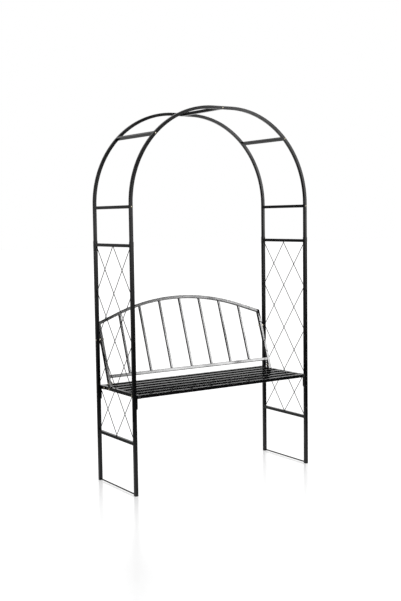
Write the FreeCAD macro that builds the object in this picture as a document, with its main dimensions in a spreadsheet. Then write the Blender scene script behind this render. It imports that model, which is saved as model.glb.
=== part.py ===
import FreeCAD, Part
import math
import os
import re
import Sketcher

# Arbour seat: a rose arch of square steel tube with lattice sides, a slatted bench and a bowed back.
# The origin is on the ground under the middle of the arch, +Z is up and the front faces -Y.

document = FreeCAD.newDocument("arbour_seat")
sheet = document.addObject("Spreadsheet::Sheet", "Dimensions")

# Driving dimensions, in millimetres unless the meaning says degrees or a count
dimensions = [
    ("frame_width", 1154, "left to right between post centres"),
    ("frame_depth", 398, "front to rear between post centres"),
    ("post_height", 1332, "ground to the joint between a post and its arch half"),
    ("arch_leg", 195, "straight leg of an arch half above that joint"),
    ("crown_straight", 62, "straight end of an arch half at the crown"),
    ("socket_depth", 60, "length of an arch leg inside its post"),
    ("tube_size", 17, "side of the square tube of the arches, crossbars, rungs and back"),
    ("seat_tube_size", 19, "side of the square tube of the seat"),
    ("tube_wall", 1.2, "wall of those tubes"),
    ("tube_corner", 2, "outer corner radius of every frame tube"),
    ("post_wall", 0.9, "wall of a post, whose bore takes the arch leg"),
    ("fit_clearance", 0.1, "gap on each side of a piece inside a tube"),
    ("connector_wall", 1.5, "wall of the connectors in the crown"),
    ("crown_connector_length", 110, "connector between two arch halves"),
    ("haunch_angle", 45, "degrees up the bend to the haunch crossbar"),
    ("shoulder_drop", 15, "shoulder crossbar below the start of the bend"),
    ("cap_head", 3, "thickness of a foot cap under its post"),
    ("cap_plug", 14, "length of a foot cap inside its post"),
    ("upper_rung_drop", 20, "upper rung below the top of the post"),
    ("lower_rung_height", 277, "ground to the middle of the lower rung"),
    ("ground_bar_size", 8, "diameter of the ground bar"),
    ("ground_bar_height", 7, "ground to the middle of the ground bar"),
    ("wire_size", 4, "diameter of a lattice wire"),
    ("wire_gap", 0.2, "gap between the two layers of wires"),
    ("lattice_rows", 4, "count of half diamonds up a side panel"),
    ("bracket_thickness", 5, "seat bracket plate, and the gap between post and seat"),
    ("bracket_drop", 77, "top to bottom of a bracket's welded leg"),
    ("bracket_bolt_gap", 12.3, "edge of the nearest slat to the bracket's bolt"),
    ("seat_height", 534, "ground to the top of the seat"),
    ("slat_count", 5, "count of slats between the front and rear rails"),
    ("end_plug_head", 2, "thickness of the head of a plug in a side rail's end"),
    ("end_plug_length", 12, "length of such a plug inside the rail"),
    ("pivot_rise", 254, "top of the seat to the bolts that hold the back to the rear posts"),
    ("bow_apex", 212, "those bolts to the middle of the top rail, along the back"),
    ("bow_radius", 1235, "centre line of the bowed top rail"),
    ("back_rail_drop", 212, "those bolts to the bottom rail, along the back"),
    ("bar_count", 7, "count of bars in the back"),
    ("bar_pitch", 137.5, "between bar centres"),
    ("bar_size", 12, "side of a square bar"),
    ("bar_wall", 1, "wall of a bar"),
    ("bar_corner", 1.5, "outer corner radius of a bar"),
    ("strap_thickness", 3, "foot strap between the back and the seat"),
    ("strap_width", 20, "width of a foot strap"),
    ("strap_hole_spacing", 30, "between the two holes of a foot strap"),
    ("strap_clearance", 5.2, "edge of the last slat to the side of a foot strap"),
    ("bolt_size", 6, "diameter of every bolt"),
    ("bolt_hole", 6.6, "diameter of the holes that bolts pass through"),
    ("bolt_head_size", 10.5, "diameter of the domed bolt head"),
    ("bolt_head_height", 3.3, "height of the domed bolt head"),
    ("bolt_socket", 4, "across the flats of the hexagon socket"),
    ("bolt_socket_depth", 1.8, "depth of the hexagon socket"),
    ("thread_clearance", 0.1, "gap all round between a bolt and its nut"),
    ("nut_size", 10, "across the flats of a hexagon nut"),
    ("nut_thickness", 5, "thickness of a hexagon nut"),
    ("end_nut_length", 12, "length of the square nut in a crossbar's end"),
    ("spacer_size", 14, "outer diameter of the spacer behind the back's bolts"),
]
for row, (alias, value, meaning) in enumerate(dimensions, start=1):
    sheet.set(f"A{row}", alias)
    sheet.set(f"B{row}", str(value))
    sheet.set(f"C{row}", meaning)
    sheet.setAlias(f"B{row}", alias)
document.recompute()

# Derived places, as formulas of the dimensions
POST_SIZE = "(tube_size + 2 * fit_clearance + 2 * post_wall)"
POST_X = "frame_width / 2"
POST_Y = "frame_depth / 2"
BEND_RADIUS = f"({POST_X} - crown_straight)"
SPRING_HEIGHT = "(post_height + arch_leg)"
CROWN_HEIGHT = f"({SPRING_HEIGHT} + {BEND_RADIUS})"
LEG_LENGTH = "(socket_depth + arch_leg)"
CROSS_LENGTH = "frame_depth - tube_size"
PANEL_LENGTH = f"(frame_depth - {POST_SIZE})"
UPPER_RUNG_HEIGHT = "(post_height - upper_rung_drop)"
WINDOW_BOTTOM = "(lower_rung_height + tube_size / 2)"
WINDOW_HEIGHT = f"({UPPER_RUNG_HEIGHT} - tube_size / 2 - {WINDOW_BOTTOM})"
POST_IN = f"({POST_X} - {POST_SIZE} / 2)"
RAIL_X = f"({POST_IN} - bracket_thickness - seat_tube_size / 2)"
RAIL_IN = f"({RAIL_X} - seat_tube_size / 2)"
RAIL_OUT = f"({RAIL_X} + seat_tube_size / 2)"
RAIL_HEIGHT = "(seat_height - seat_tube_size / 2)"
PIVOT_HEIGHT = "(seat_height + pivot_rise)"
SLAT_LENGTH = f"2 * {RAIL_IN}"
SLAT_PITCH = "(frame_depth / (slat_count + 1))"
LAST_SLAT_Y = f"({POST_Y} - {SLAT_PITCH})"
BRACKET_BOLT_Y = f"({LAST_SLAT_Y} + seat_tube_size / 2 + bracket_bolt_gap)"
FOOT_BOLT_Y = f"({LAST_SLAT_Y} - seat_tube_size / 2 - strap_width / 2 - strap_clearance)"
LEAN = f"atan(({POST_Y} - {FOOT_BOLT_Y}) / (pivot_rise + seat_tube_size / 2))"
FOOT_DROP = f"((pivot_rise + seat_tube_size / 2) / cos({LEAN}))"
BOW_HALF = "((bar_count - 1) / 2 * bar_pitch + bar_size / 2)"
BOW_ANGLE = f"asin({BOW_HALF} / bow_radius)"
BOW_CENTRE = "(bow_apex - bow_radius)"
BORE = "(tube_size - 2 * tube_wall)"
BORE_CORNER = "tube_corner - tube_wall"
INNER_SIZE = f"({BORE} - 2 * fit_clearance)"
NUT_BORE = "(bolt_size + 2 * thread_clearance)"

LEFT_RIGHT = (("left", -1), ("right", 1))
FRONT_REAR = (("front", -1), ("rear", 1))
X_AXIS = (1, 0, 0)
Y_AXIS = (0, 1, 0)
Z_AXIS = (0, 0, 1)
UP = FreeCAD.Vector(0, 0, 1)
NO_OFFSET = ("0", "0", "0")

WORD = "[a-z_]+"
aliases = {alias for alias, value, meaning in dimensions}
nodes = []


def bound(formula):
    """The formula with each dimension's name pointed at its cell."""
    return re.sub(WORD, lambda word: f"Dimensions.{word[0]}" if word[0] in aliases else word[0], formula)


def number(formula):
    """The formula's value, for a sketch's first draft and for counts."""
    result = sheet.evalExpression(bound(str(formula)))
    return float(getattr(result, "Value", result))


def place(piece, x="0", y="0", z="0", axis=Z_AXIS, angle="0"):
    """Turns a piece about an axis and moves it to its place."""
    turn = FreeCAD.Rotation(FreeCAD.Vector(*axis), number(angle))
    piece.Placement = FreeCAD.Placement(FreeCAD.Vector(), turn)
    piece.setExpression(".Placement.Base.x", bound(x))
    piece.setExpression(".Placement.Base.y", bound(y))
    piece.setExpression(".Placement.Base.z", bound(z))
    if aliases & set(re.findall(WORD, angle)):
        piece.setExpression(".Placement.Rotation.Angle", bound(angle))


def place_in_back(piece):
    """Leans a piece of the backrest back about the bolts in the rear posts."""
    place(piece, y=POST_Y, z=PIVOT_HEIGHT, axis=X_AXIS, angle=f"-{LEAN}")


def origin_plane(body, role):
    """One of the body's own origin planes."""
    return next(feature for feature in body.Origin.OriginFeatures if feature.Role == role)


def new_body(label, is_node=True):
    """A body with its label, which is also the name of its file when it is a node."""
    body = document.addObject("PartDesign::Body", label)
    body.Label = label
    if is_node:
        nodes.append(body)
    return body


def new_sketch(body, name, role, offset=NO_OFFSET, turn="0"):
    """A sketch on an origin plane, moved and turned within it by formulas."""
    sketch = body.newObject("Sketcher::SketchObject", f"{body.Name}_{name}")
    sketch.AttachmentSupport = [(origin_plane(body, role), "")]
    sketch.MapMode = "FlatFace"
    for letter, formula in zip("xyz", offset):
        sketch.setExpression(f".AttachmentOffset.Base.{letter}", bound(formula))
    sketch.setExpression(".AttachmentOffset.Rotation.Angle", bound(turn))
    return sketch


def hold(sketch, kind, *where, size=None):
    """Adds a constraint; a size is tied to its formula."""
    values = where if size is None else (*where, number(size))
    index = sketch.addConstraint(Sketcher.Constraint(kind, *values))
    if size is not None:
        sketch.setExpression(f"Constraints[{index}]", bound(size))


def hold_point(sketch, geometry, point, x, y):
    """Holds a point of the sketch at formulas for its two coordinates."""
    hold(sketch, "DistanceX", -1, 1, geometry, point, size=x)
    hold(sketch, "DistanceY", -1, 1, geometry, point, size=y)


def draw_circle(sketch, diameter, x="0", y="0"):
    """A circle held at a place."""
    centre = FreeCAD.Vector(number(x), number(y), 0)
    circle = Part.Circle(centre, UP, number(diameter) / 2)
    index = sketch.addGeometry(circle)
    hold(sketch, "Diameter", index, size=diameter)
    hold_point(sketch, index, 3, x, y)


def draw_polygon(sketch, corners):
    """A closed outline of straight sides, each corner held at two formulas."""
    points = [FreeCAD.Vector(number(x), number(y), 0) for x, y in corners]
    sides = []
    for start, end in zip(points, points[1:] + points[:1]):
        sides.append(sketch.addGeometry(Part.LineSegment(start, end)))
    for side, following in zip(sides, sides[1:] + sides[:1]):
        hold(sketch, "Coincident", side, 2, following, 1)
    for side, (x, y) in zip(sides, corners):
        hold_point(sketch, side, 1, x, y)


def draw_hexagon(sketch, across_flats):
    """A regular hexagon about the sketch's origin."""
    corners = []
    for angle in range(0, 360, 60):
        corner = f"{across_flats} / sqrt(3)"
        corners.append((f"{corner} * cos({angle})", f"{corner} * sin({angle})"))
    draw_polygon(sketch, corners)


def draw_rounded_square(sketch, side, radius):
    """A square with rounded corners about the sketch's origin."""
    corner_radius = number(radius)
    half = number(side) / 2
    flat = half - corner_radius
    first = sketch.GeometryCount
    for quarter in range(4):
        start_angle = quarter * math.pi / 2
        diagonal = start_angle + math.pi / 4
        centre = FreeCAD.Vector(math.cos(diagonal), math.sin(diagonal), 0) * flat * math.sqrt(2)
        circle = Part.Circle(centre, UP, corner_radius)
        sketch.addGeometry(Part.ArcOfCircle(circle, start_angle, start_angle + math.pi / 2))
        outward = FreeCAD.Vector(-math.sin(start_angle), math.cos(start_angle), 0)
        along = FreeCAD.Vector(math.cos(start_angle), math.sin(start_angle), 0)
        ends = (outward * half + along * flat, outward * half - along * flat)
        sketch.addGeometry(Part.LineSegment(*ends))
    for step in range(0, 8, 2):
        arc, line, next_arc = first + step, first + step + 1, first + (step + 2) % 8
        hold(sketch, "Tangent", arc, 2, line, 1)
        hold(sketch, "Tangent", line, 2, next_arc, 1)
        hold(sketch, "Horizontal" if step % 4 == 0 else "Vertical", line)
    for step in range(2, 8, 2):
        hold(sketch, "Equal", first, first + step)
    hold(sketch, "Radius", first, size=radius)
    hold_point(sketch, first, 3, f"{side} / 2 - ({radius})", f"{side} / 2 - ({radius})")
    hold_point(sketch, first + 4, 3, f"({radius}) - {side} / 2", f"({radius}) - {side} / 2")


def draw_tube_section(sketch, side="tube_size", wall="tube_wall", corner="tube_corner"):
    """The wall of a square tube: the outer outline and the bore."""
    draw_rounded_square(sketch, side, corner)
    draw_rounded_square(sketch, f"({side} - 2 * {wall})", f"{corner} - {wall}")


def pad(body, sketch, length, centred=False):
    """Pads a sketch by a formula, to one side or half to each side."""
    feature = body.newObject("PartDesign::Pad", f"{sketch.Name}_pad")
    feature.Profile = sketch
    feature.SideType = "Symmetric" if centred else "One side"
    feature.setExpression("Length", bound(length))
    sketch.Visibility = False
    return feature


def cut_through(body, sketch):
    """Cuts a sketch right through the body, to both sides of its plane, and checks that it cut."""
    document.recompute()
    volume_before = body.Shape.Volume
    feature = body.newObject("PartDesign::Pocket", f"{sketch.Name}_pocket")
    feature.Profile = sketch
    feature.SideType = "Symmetric"
    feature.Type = "ThroughAll"
    document.recompute()
    if body.Shape.Volume > volume_before - 0.01:
        raise ValueError(f"{feature.Name} cuts nothing")
    return feature


def drill(body, name, role, places, diameter="bolt_hole"):
    """Drills holes through the body, square to one of its origin planes."""
    sketch = new_sketch(body, name, role)
    for x, y in places:
        draw_circle(sketch, diameter, x, y)
    cut_through(body, sketch)


def straight_tube(label, role, length, centred=True, offset=NO_OFFSET, turn="0", **section):
    """A straight square tube, square to one of its origin planes."""
    body = new_body(label)
    sketch = new_sketch(body, "section", role, offset, turn)
    draw_tube_section(sketch, **section)
    pad(body, sketch, length, centred)
    return body


def group(label, master, places):
    """A node of several like pieces: linked copies of one master body."""
    copies = []
    for index, where in enumerate(places, start=1):
        copy = document.addObject("App::Link", f"{label}_{index}")
        copy.LinkedObject = master
        place(copy, **where)
        copies.append(copy)
    compound = document.addObject("Part::Compound", label)
    compound.Label = label
    compound.Links = copies
    nodes.append(compound)


# Posts: four uprights on foot caps, the rear two drilled for the bolts of the backrest
for side, sign in LEFT_RIGHT:
    for end, way in FRONT_REAR:
        post = straight_tube(
            f"post_{end}_{side}", "XY_Plane", "post_height - cap_head", centred=False,
            side=POST_SIZE, wall="post_wall",
        )
        if end == "rear":
            drill(post, "back_hole", "YZ_Plane", [("0", f"{PIVOT_HEIGHT} - cap_head")])
        place(post, f"{sign} * {POST_X}", f"{way} * {POST_Y}", "cap_head")

# Foot caps: a flat head under each post and a plug inside it
foot_cap = new_body("foot_cap", is_node=False)
cap_head_outline = new_sketch(foot_cap, "head", "XY_Plane")
draw_rounded_square(cap_head_outline, POST_SIZE, "tube_corner")
pad(foot_cap, cap_head_outline, "cap_head")
cap_plug_outline = new_sketch(foot_cap, "plug", "XY_Plane")
draw_rounded_square(cap_plug_outline, "tube_size", "tube_corner - post_wall")
pad(foot_cap, cap_plug_outline, "cap_head + cap_plug")
post_places = [
    {"x": f"{sign} * {POST_X}", "y": f"{way} * {POST_Y}"}
    for side, sign in LEFT_RIGHT
    for end, way in FRONT_REAR
]
group("foot_caps", foot_cap, post_places)

# Arch halves: a leg that slides into its post, a quarter bend and half of the crown
SHOULDER_Z = f"({LEG_LENGTH} - shoulder_drop)"
HAUNCH_X = f"({BEND_RADIUS} * (1 - cos(haunch_angle)))"
HAUNCH_Z = f"({LEG_LENGTH} + {BEND_RADIUS} * sin(haunch_angle))"
CROWN_Z = f"({LEG_LENGTH} + {BEND_RADIUS})"


def arch_half(label):
    """An arch half from its leg at the origin up and over to +X, drilled for the crossbar bolts."""
    body = new_body(label)
    section = new_sketch(body, "section", "XY_Plane")
    draw_tube_section(section)
    path = new_sketch(body, "path", "XZ_Plane")
    leg_top = number(LEG_LENGTH)
    radius = number(BEND_RADIUS)
    crown_end = number(POST_X)
    centre = FreeCAD.Vector(radius, leg_top, 0)
    bend = Part.ArcOfCircle(Part.Circle(centre, UP, radius), math.pi / 2, math.pi)
    leg = path.addGeometry(Part.LineSegment(FreeCAD.Vector(), FreeCAD.Vector(0, leg_top, 0)))
    curve = path.addGeometry(bend)
    crown_start = FreeCAD.Vector(radius, leg_top + radius, 0)
    crown = path.addGeometry(Part.LineSegment(crown_start, FreeCAD.Vector(crown_end, leg_top + radius, 0)))
    hold(path, "Coincident", leg, 1, -1, 1)
    hold(path, "Vertical", leg)
    hold(path, "DistanceY", leg, 1, leg, 2, size=LEG_LENGTH)
    hold(path, "Tangent", leg, 2, curve, 2)
    hold(path, "Tangent", curve, 1, crown, 1)
    hold(path, "Horizontal", crown)
    hold(path, "Radius", curve, size=BEND_RADIUS)
    hold(path, "DistanceX", crown, 1, crown, 2, size="crown_straight")
    pipe = body.newObject("PartDesign::AdditivePipe", f"{label}_pipe")
    pipe.Profile = section
    pipe.Spine = (path, ["Edge1", "Edge2", "Edge3"])
    holes = [("0", SHOULDER_Z), (HAUNCH_X, HAUNCH_Z), (POST_X, CROWN_Z)]
    drill(body, "holes", "XZ_Plane", holes)
    return body


for side, sign in LEFT_RIGHT:
    for end, way in FRONT_REAR:
        half = arch_half(f"arch_half_{end}_{side}")
        turn = "180" if sign > 0 else "0"
        place(half, f"{sign} * {POST_X}", f"{way} * {POST_Y}", "post_height - socket_depth", angle=turn)

# Crown connectors: short tubes inside the arches, where their halves meet
crown_connector = new_body("crown_connector", is_node=False)
crown_section = new_sketch(crown_connector, "section", "YZ_Plane")
draw_rounded_square(crown_section, INNER_SIZE, "connector_wall")
draw_rounded_square(crown_section, f"({INNER_SIZE} - 2 * connector_wall)", "connector_wall / 2")
pad(crown_connector, crown_section, "crown_connector_length", centred=True)
drill(crown_connector, "hole", "XZ_Plane", [("0", "0")])
crown_places = [{"y": f"{way} * {POST_Y}", "z": CROWN_HEIGHT} for end, way in FRONT_REAR]
group("crown_connectors", crown_connector, crown_places)

# Crossbars: five tubes from the front arch to the rear one, the haunch pair turned with the bend
HAUNCH_RIGHT_X = f"(crown_straight + {BEND_RADIUS} * cos(haunch_angle))"
HAUNCH_HEIGHT = f"({SPRING_HEIGHT} + {BEND_RADIUS} * sin(haunch_angle))"
SHOULDER_HEIGHT = f"({SPRING_HEIGHT} - shoulder_drop)"
crossbars = [
    ("left_shoulder", f"-{POST_X}", SHOULDER_HEIGHT, "0"),
    ("left_haunch", f"-{HAUNCH_RIGHT_X}", HAUNCH_HEIGHT, "-haunch_angle"),
    ("crown", "0", CROWN_HEIGHT, "0"),
    ("right_haunch", HAUNCH_RIGHT_X, HAUNCH_HEIGHT, "haunch_angle"),
    ("right_shoulder", POST_X, SHOULDER_HEIGHT, "0"),
]
for name, x, z, turn in crossbars:
    crossbar = straight_tube(f"crossbar_{name}", "XZ_Plane", CROSS_LENGTH, turn=turn)
    place(crossbar, x, "0", z)

# Side panels: two rungs and a round ground bar between the posts of each side
for side, sign in LEFT_RIGHT:
    for name, height in (("upper", UPPER_RUNG_HEIGHT), ("lower", "lower_rung_height")):
        rung = straight_tube(f"panel_rung_{name}_{side}", "XZ_Plane", PANEL_LENGTH)
        place(rung, f"{sign} * {POST_X}", "0", height)
    ground_bar = new_body(f"ground_bar_{side}")
    ground_bar_section = new_sketch(ground_bar, "section", "XZ_Plane")
    draw_circle(ground_bar_section, "ground_bar_size")
    pad(ground_bar, ground_bar_section, PANEL_LENGTH, centred=True)
    place(ground_bar, f"{sign} * {POST_X}", "0", "ground_bar_height")

# Lattice: a layer of rising and a layer of falling wires, cut to the window of each side panel
WIRE_RISE = f"(2 * {WINDOW_HEIGHT} / lattice_rows)"
WIRE_SLOPE = f"atan({WIRE_RISE} / {PANEL_LENGTH})"
WIRE_OVERRUN = "tube_size"
WIRE_LAYER = "((wire_size + wire_gap) / 2)"


def lattice(label, x, way):
    """Parallel wires across the window, rising towards +Y when way is 1 and falling when it is -1."""
    wires = []
    for step in range(-1, int(number("lattice_rows"))):
        wire = document.addObject("Part::Cylinder", f"{label}_wire_{step + 2}")
        wire.setExpression("Radius", bound("wire_size / 2"))
        wire.setExpression("Height", bound(f"{PANEL_LENGTH} / cos({WIRE_SLOPE}) + 2 * {WIRE_OVERRUN}"))
        start_y = f"{-way} * ({PANEL_LENGTH} / 2 + {WIRE_OVERRUN} * cos({WIRE_SLOPE}))"
        start_z = f"{WINDOW_BOTTOM} + {step} * {WIRE_RISE} / 2 - {WIRE_OVERRUN} * sin({WIRE_SLOPE})"
        place(wire, x, start_y, start_z, axis=X_AXIS, angle=f"{way} * ({WIRE_SLOPE} - 90 deg)")
        wires.append(wire)
    bundle = document.addObject("Part::Compound", f"{label}_wires")
    bundle.Links = wires
    window = document.addObject("Part::Box", f"{label}_window")
    window.setExpression("Length", bound("tube_size"))
    window.setExpression("Width", bound(PANEL_LENGTH))
    window.setExpression("Height", bound(WINDOW_HEIGHT))
    place(window, f"{x} - tube_size / 2", f"-{PANEL_LENGTH} / 2", WINDOW_BOTTOM)
    layer = document.addObject("Part::Common", label)
    layer.Label = label
    layer.Base = bundle
    layer.Tool = window
    nodes.append(layer)


for side, sign in LEFT_RIGHT:
    lattice(f"lattice_{side}_rising", f"{sign} * ({POST_X} - {WIRE_LAYER})", 1)
    lattice(f"lattice_{side}_falling", f"{sign} * ({POST_X} + {WIRE_LAYER})", -1)

# Seat: two side rails drilled for their bolts, with the front rail, slats and rear rail between them
for side, sign in LEFT_RIGHT:
    side_rail_length = "frame_depth + seat_tube_size"
    side_rail = straight_tube(f"seat_side_rail_{side}", "XZ_Plane", side_rail_length, side="seat_tube_size")
    bolt_places = [(f"-{BRACKET_BOLT_Y}", "0"), (FOOT_BOLT_Y, "0"), (BRACKET_BOLT_Y, "0")]
    drill(side_rail, "bolt_holes", "YZ_Plane", bolt_places)
    place(side_rail, f"{sign} * {RAIL_X}", "0", RAIL_HEIGHT)

slat_count = int(number("slat_count"))
slat_names = [f"seat_slat_{index + 1}" for index in range(slat_count)]
slat_names = ["seat_front_rail", *slat_names, "seat_rear_rail"]
for index, name in enumerate(slat_names):
    slat = straight_tube(name, "YZ_Plane", SLAT_LENGTH, side="seat_tube_size")
    place(slat, "0", f"{index} * {SLAT_PITCH} - {POST_Y}", RAIL_HEIGHT)

# Seat end plugs: a thin head over each end of the side rails and a plug inside it
end_plug = new_body("seat_end_plug", is_node=False)
plug_head_outline = new_sketch(end_plug, "head", "XZ_Plane")
draw_rounded_square(plug_head_outline, "seat_tube_size", "tube_corner")
pad(end_plug, plug_head_outline, "end_plug_head")
plug_outline = new_sketch(end_plug, "plug", "XZ_Plane")
draw_rounded_square(plug_outline, "(seat_tube_size - 2 * tube_wall - 2 * fit_clearance)", BORE_CORNER)
plug_in = pad(end_plug, plug_outline, "end_plug_length")
plug_in.Reversed = True
end_plug_places = [
    {
        "x": f"{sign} * {RAIL_X}", "y": f"{way} * ({POST_Y} + seat_tube_size / 2)", "z": RAIL_HEIGHT,
        "angle": "180" if way > 0 else "0",
    }
    for side, sign in LEFT_RIGHT
    for end, way in FRONT_REAR
]
group("seat_end_plugs", end_plug, end_plug_places)

# Seat brackets: a plate with a leg welded to the post and an arm bolted to the side rail
ARM_REACH = f"({POST_Y} - {BRACKET_BOLT_Y})"


def seat_bracket(label):
    """A bracket with its post at the origin, its arm towards -Y and its top edge level with the rail."""
    body = new_body(label)
    half = number("seat_tube_size") / 2
    reach = number(ARM_REACH)
    drop = number("bracket_drop") - 2 * half
    centre_arm = FreeCAD.Vector(-reach, 0, 0)
    centre_leg = FreeCAD.Vector(0, -drop, 0)
    outline = new_sketch(body, "outline", "YZ_Plane")
    arm_end = Part.ArcOfCircle(Part.Circle(centre_arm, UP, half), math.pi / 2, 1.5 * math.pi)
    leg_end = Part.ArcOfCircle(Part.Circle(centre_leg, UP, half), math.pi, 2 * math.pi)
    corner_top = FreeCAD.Vector(half, half, 0)
    corner_inner = FreeCAD.Vector(-half, -half, 0)
    top = outline.addGeometry(Part.LineSegment(corner_top, FreeCAD.Vector(-reach, half, 0)))
    arm = outline.addGeometry(arm_end)
    under = outline.addGeometry(Part.LineSegment(FreeCAD.Vector(-reach, -half, 0), corner_inner))
    inner = outline.addGeometry(Part.LineSegment(corner_inner, FreeCAD.Vector(-half, -drop, 0)))
    leg = outline.addGeometry(leg_end)
    outer = outline.addGeometry(Part.LineSegment(FreeCAD.Vector(half, -drop, 0), corner_top))
    hold(outline, "Tangent", top, 2, arm, 1)
    hold(outline, "Tangent", arm, 2, under, 1)
    hold(outline, "Coincident", under, 2, inner, 1)
    hold(outline, "Tangent", inner, 2, leg, 1)
    hold(outline, "Tangent", leg, 2, outer, 1)
    hold(outline, "Coincident", outer, 2, top, 1)
    hold(outline, "Horizontal", top)
    hold(outline, "Vertical", outer)
    hold(outline, "Horizontal", under)
    hold(outline, "Vertical", inner)
    hold_point(outline, arm, 3, f"-{ARM_REACH}", "0")
    hold_point(outline, leg, 3, "0", "seat_tube_size - bracket_drop")
    hold_point(outline, top, 1, "seat_tube_size / 2", "seat_tube_size / 2")
    pad(body, outline, "bracket_thickness", centred=True)
    drill(body, "hole", "YZ_Plane", [(f"-{ARM_REACH}", "0")])
    return body


PLATE_X = f"({POST_IN} - bracket_thickness / 2)"
for side, sign in LEFT_RIGHT:
    for end, way in FRONT_REAR:
        bracket = seat_bracket(f"seat_bracket_{end}_{side}")
        turn = "180" if way < 0 else "0"
        place(bracket, f"{sign} * {PLATE_X}", f"{way} * {POST_Y}", RAIL_HEIGHT, angle=turn)

# Backrest: a bowed top rail, mitred uprights, a bottom rail and bars, leaning back as one frame
UPRIGHT_X = f"({RAIL_IN} + tube_size / 2)"
UPRIGHT_OUT = f"({RAIL_IN} + tube_size)"
BOW_END = f"({BOW_CENTRE} + bow_radius * cos({BOW_ANGLE}))"
MITRE_HALF = f"(tube_size / 2 / cos({BOW_ANGLE}))"
MITRE_IN = f"({BOW_END} - ({RAIL_IN} - {BOW_HALF}) * tan({BOW_ANGLE}) - {MITRE_HALF})"
MITRE_OUT = f"({BOW_END} - ({UPRIGHT_OUT} - {BOW_HALF}) * tan({BOW_ANGLE}) + {MITRE_HALF})"
MITRE_RISE = f"({MITRE_OUT} - {MITRE_IN})"
WASTE = "(4 * tube_size)"


def mitre_outline(sketch, sign, far_height):
    """The waste on one side of the mitre between an upright and the top rail."""
    near = (f"{sign} * ({RAIL_IN} - tube_size)", f"{MITRE_IN} - {MITRE_RISE}")
    far = (f"{sign} * ({UPRIGHT_OUT} + tube_size)", f"{MITRE_OUT} + {MITRE_RISE}")
    draw_polygon(sketch, [near, far, (far[0], far_height), (near[0], far_height)])


top_rail = new_body("backrest_top_rail")
top_rail_section = new_sketch(top_rail, "section", "YZ_Plane", offset=("0", "bow_apex", "0"))
draw_tube_section(top_rail_section)
top_rail_path = new_sketch(top_rail, "path", "XZ_Plane")
bow_radius = number("bow_radius")
bow_angle = math.radians(number(BOW_ANGLE))
bow_centre = FreeCAD.Vector(0, number(BOW_CENTRE), 0)
bow_circle = Part.Circle(bow_centre, UP, bow_radius)
bow = top_rail_path.addGeometry(Part.ArcOfCircle(bow_circle, math.pi / 2 - bow_angle, math.pi / 2))
straight_start = bow_centre + FreeCAD.Vector(math.sin(bow_angle), math.cos(bow_angle), 0) * bow_radius
straight_reach = number(f"{UPRIGHT_OUT} - {BOW_HALF}")
straight_end = straight_start + FreeCAD.Vector(1, -math.tan(bow_angle), 0) * straight_reach
straight = top_rail_path.addGeometry(Part.LineSegment(straight_start, straight_end))
hold_point(top_rail_path, bow, 3, "0", BOW_CENTRE)
hold_point(top_rail_path, bow, 2, "0", "bow_apex")
hold(top_rail_path, "Tangent", bow, 1, straight, 1)
hold(top_rail_path, "DistanceX", -1, 1, straight, 1, size=BOW_HALF)
hold(top_rail_path, "DistanceX", -1, 1, straight, 2, size=UPRIGHT_OUT)
half_rail = top_rail.newObject("PartDesign::AdditivePipe", "backrest_top_rail_half")
half_rail.Profile = top_rail_section
half_rail.Spine = (top_rail_path, ["Edge1", "Edge2"])
document.recompute()
whole_rail = top_rail.newObject("PartDesign::Mirrored", "backrest_top_rail_whole")
whole_rail.Originals = [half_rail]
whole_rail.MirrorPlane = (origin_plane(top_rail, "YZ_Plane"), [""])
top_rail.Tip = whole_rail
for side, sign in LEFT_RIGHT:
    rail_waste = new_sketch(top_rail, f"mitre_{side}", "XZ_Plane")
    mitre_outline(rail_waste, sign, f"{MITRE_IN} - {WASTE}")
    cut_through(top_rail, rail_waste)
place_in_back(top_rail)

FOOT_LEVEL = f"(pivot_rise / cos({LEAN}))"
FOOT_SLANT = f"(tube_size * tan({LEAN}))"
for side, sign in LEFT_RIGHT:
    upright_foot = (f"{sign} * {UPRIGHT_X}", "0", f"-{FOOT_LEVEL} - {FOOT_SLANT}")
    upright_length = f"{MITRE_OUT} + {FOOT_LEVEL} + {FOOT_SLANT}"
    upright = straight_tube(
        f"backrest_upright_{side}", "XY_Plane", upright_length, centred=False, offset=upright_foot
    )
    top_waste = new_sketch(upright, "top_mitre", "XZ_Plane")
    mitre_outline(top_waste, sign, f"{MITRE_OUT} + {WASTE}")
    cut_through(upright, top_waste)
    foot_waste = new_sketch(upright, "foot_mitre", "YZ_Plane")
    foot_corners = [
        ("-tube_size", f"-{FOOT_LEVEL} - {FOOT_SLANT}"),
        ("tube_size", f"-{FOOT_LEVEL} + {FOOT_SLANT}"),
        ("tube_size", f"-{FOOT_LEVEL} - {WASTE}"),
        ("-tube_size", f"-{FOOT_LEVEL} - {WASTE}"),
    ]
    draw_polygon(foot_waste, foot_corners)
    cut_through(upright, foot_waste)
    drill(upright, "bolt_holes", "YZ_Plane", [("0", "0"), ("0", f"strap_hole_spacing - {FOOT_DROP}")])
    place_in_back(upright)

bottom_rail_offset = ("0", "-back_rail_drop", "0")
bottom_rail = straight_tube("backrest_bottom_rail", "YZ_Plane", SLAT_LENGTH, offset=bottom_rail_offset)
place_in_back(bottom_rail)

BAR_FOOT = "(tube_size / 2 - back_rail_drop)"
bar_count = int(number("bar_count"))
for index in range(bar_count):
    bar_x = f"({index} - (bar_count - 1) / 2) * bar_pitch"
    bar = straight_tube(
        f"backrest_bar_{index + 1}", "XY_Plane", f"bow_apex - {BAR_FOOT}", centred=False,
        offset=(bar_x, "0", BAR_FOOT), side="bar_size", wall="bar_wall", corner="bar_corner",
    )
    rail_outline = new_sketch(bar, "under_rail", "XZ_Plane")
    draw_circle(rail_outline, "2 * bow_radius - tube_size", "0", BOW_CENTRE)
    draw_circle(rail_outline, "3 * bow_radius", "0", BOW_CENTRE)
    cut_through(bar, rail_outline)
    place_in_back(bar)

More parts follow.
